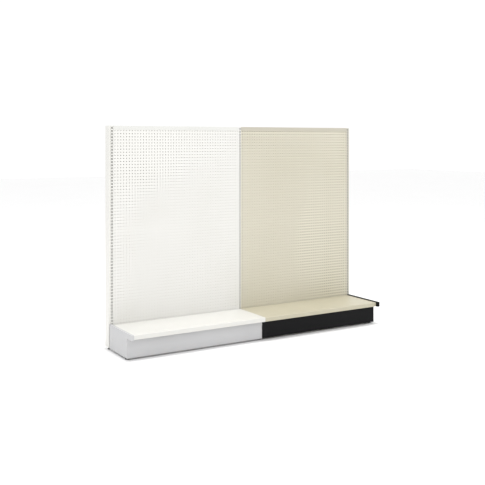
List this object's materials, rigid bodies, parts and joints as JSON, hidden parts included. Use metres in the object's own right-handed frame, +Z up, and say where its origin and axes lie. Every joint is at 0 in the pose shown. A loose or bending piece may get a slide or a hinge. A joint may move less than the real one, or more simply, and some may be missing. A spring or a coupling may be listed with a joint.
{
  "type": "gondola shelving unit",
  "caption": "Single-sided gondola shelving run with slotted uprights, pegboard backs, lift-off base decks, pull-off kickplates and end trims on levelling feet.",
  "frame": {"origin": "on the floor, at the middle of the unit's length and depth", "axes": "+X along the unit to the right for a shopper, +Y from the shopper towards the back, +Z up"},
  "size_m": [2.4892, 0.5286, 1.8288],
  "materials": {
    "paint_white": "satin",
    "paint_almond": "satin",
    "paint_grey": "satin",
    "paint_black": "satin",
    "board_white": "satin",
    "board_almond": "satin",
    "board_brown": "matte",
    "cap_white": "matte",
    "cap_almond": "matte",
    "zinc_plate": "satin",
    "zinc_fastener": "satin",
    "spring_steel": "satin",
    "foot_plastic": "matte"
  },
  "bodies": {
    "frame": {"upright_left": "paint_white", "upright_middle": "paint_white", "upright_right": "paint_almond", "upright_cap_left": "cap_white", "upright_cap_middle": "cap_white", "upright_cap_right": "cap_almond", "base_bracket_left": "zinc_plate", "base_bracket_middle": "zinc_plate", "base_bracket_right": "zinc_plate", "back_panel_left": "board_white", "back_panel_right": "board_almond", "rear_sheet_left": "board_white", "rear_sheet_right": "board_brown", "top_rail_left": "paint_white", "top_rail_right": "paint_almond", "centre_rail_left": "paint_white", "centre_rail_right": "paint_almond", "bottom_rail_left": "paint_white", "bottom_rail_right": "paint_almond", "rail_screws": "zinc_fastener", "end_trim_left": "paint_grey", "end_trim_right": "paint_black", "trim_screws": "zinc_fastener", "foot_nuts": "zinc_fastener"},
    "deck_left": {"deck_left": "paint_white", "deck_stiffeners_left": "paint_white"},
    "kickplate_left": {"kickplate_left": "paint_grey", "kick_clips_left": "spring_steel"},
    "deck_right": {"deck_right": "paint_almond", "deck_stiffeners_right": "paint_almond"},
    "kickplate_right": {"kickplate_right": "paint_black", "kick_clips_right": "spring_steel"},
    "foot_pad_rear_left": {"foot_pad_rear_left": "foot_plastic"},
    "foot_stud_rear_left": {"foot_stud_rear_left": "zinc_fastener"},
    "foot_pad_rear_middle": {"foot_pad_rear_middle": "foot_plastic"},
    "foot_stud_rear_middle": {"foot_stud_rear_middle": "zinc_fastener"},
    "foot_pad_rear_right": {"foot_pad_rear_right": "foot_plastic"},
    "foot_stud_rear_right": {"foot_stud_rear_right": "zinc_fastener"},
    "foot_pad_front_left": {"foot_pad_front_left": "foot_plastic"},
    "foot_stud_front_left": {"foot_stud_front_left": "zinc_fastener"},
    "foot_pad_front_middle": {"foot_pad_front_middle": "foot_plastic"},
    "foot_stud_front_middle": {"foot_stud_front_middle": "zinc_fastener"},
    "foot_pad_front_right": {"foot_pad_front_right": "foot_plastic"},
    "foot_stud_front_right": {"foot_stud_front_right": "zinc_fastener"}
  },
  "joints": [
    {"name": "deck_left_lift", "type": "slide", "parent": "frame", "child": "deck_left", "axis": [0, 0, 1], "range_m": [0, 0.12]},
    {"name": "kickplate_left_pull", "type": "slide", "parent": "frame", "child": "kickplate_left", "axis": [0, -1, 0], "range_m": [0, 0.08]},
    {"name": "deck_right_lift", "type": "slide", "parent": "frame", "child": "deck_right", "axis": [0, 0, 1], "range_m": [0, 0.12]},
    {"name": "kickplate_right_pull", "type": "slide", "parent": "frame", "child": "kickplate_right", "axis": [0, -1, 0], "range_m": [0, 0.08]},
    {"name": "foot_rear_left_travel", "type": "slide", "parent": "frame", "child": "foot_pad_rear_left", "axis": [0, 0, -1], "range_m": [0, 0.012]},
    {"name": "foot_rear_left_turn", "type": "hinge", "parent": "foot_pad_rear_left", "child": "foot_stud_rear_left", "pos_m": [-1.2192, 0.22617, 0.007], "axis": [0, 0, -1], "range_deg": [0, 2880]},
    {"name": "foot_rear_middle_travel", "type": "slide", "parent": "frame", "child": "foot_pad_rear_middle", "axis": [0, 0, -1], "range_m": [0, 0.012]},
    {"name": "foot_rear_middle_turn", "type": "hinge", "parent": "foot_pad_rear_middle", "child": "foot_stud_rear_middle", "pos_m": [0, 0.22617, 0.007], "axis": [0, 0, -1], "range_deg": [0, 2880]},
    {"name": "foot_rear_right_travel", "type": "slide", "parent": "frame", "child": "foot_pad_rear_right", "axis": [0, 0, -1], "range_m": [0, 0.012]},
    {"name": "foot_rear_right_turn", "type": "hinge", "parent": "foot_pad_rear_right", "child": "foot_stud_rear_right", "pos_m": [1.2192, 0.22617, 0.007], "axis": [0, 0, -1], "range_deg": [0, 2880]},
    {"name": "foot_front_left_travel", "type": "slide", "parent": "frame", "child": "foot_pad_front_left", "axis": [0, 0, -1], "range_m": [0, 0.012]},
    {"name": "foot_front_left_turn", "type": "hinge", "parent": "foot_pad_front_left", "child": "foot_stud_front_left", "pos_m": [-1.2192, -0.13205, 0.007], "axis": [0, 0, -1], "range_deg": [0, 2880]},
    {"name": "foot_front_middle_travel", "type": "slide", "parent": "frame", "child": "foot_pad_front_middle", "axis": [0, 0, -1], "range_m": [0, 0.012]},
    {"name": "foot_front_middle_turn", "type": "hinge", "parent": "foot_pad_front_middle", "child": "foot_stud_front_middle", "pos_m": [0, -0.13205, 0.007], "axis": [0, 0, -1], "range_deg": [0, 2880]},
    {"name": "foot_front_right_travel", "type": "slide", "parent": "frame", "child": "foot_pad_front_right", "axis": [0, 0, -1], "range_m": [0, 0.012]},
    {"name": "foot_front_right_turn", "type": "hinge", "parent": "foot_pad_front_right", "child": "foot_stud_front_right", "pos_m": [1.2192, -0.13205, 0.007], "axis": [0, 0, -1], "range_deg": [0, 2880]}
  ],
  "couplings": [
    {"joint": "foot_rear_left_turn", "follows": "foot_rear_left_travel", "rad_per_m": 4188.8},
    {"joint": "foot_rear_middle_turn", "follows": "foot_rear_middle_travel", "rad_per_m": 4188.8},
    {"joint": "foot_rear_right_turn", "follows": "foot_rear_right_travel", "rad_per_m": 4188.8},
    {"joint": "foot_front_left_turn", "follows": "foot_front_left_travel", "rad_per_m": 4188.8},
    {"joint": "foot_front_middle_turn", "follows": "foot_front_middle_travel", "rad_per_m": 4188.8},
    {"joint": "foot_front_right_turn", "follows": "foot_front_right_travel", "rad_per_m": 4188.8}
  ]
}
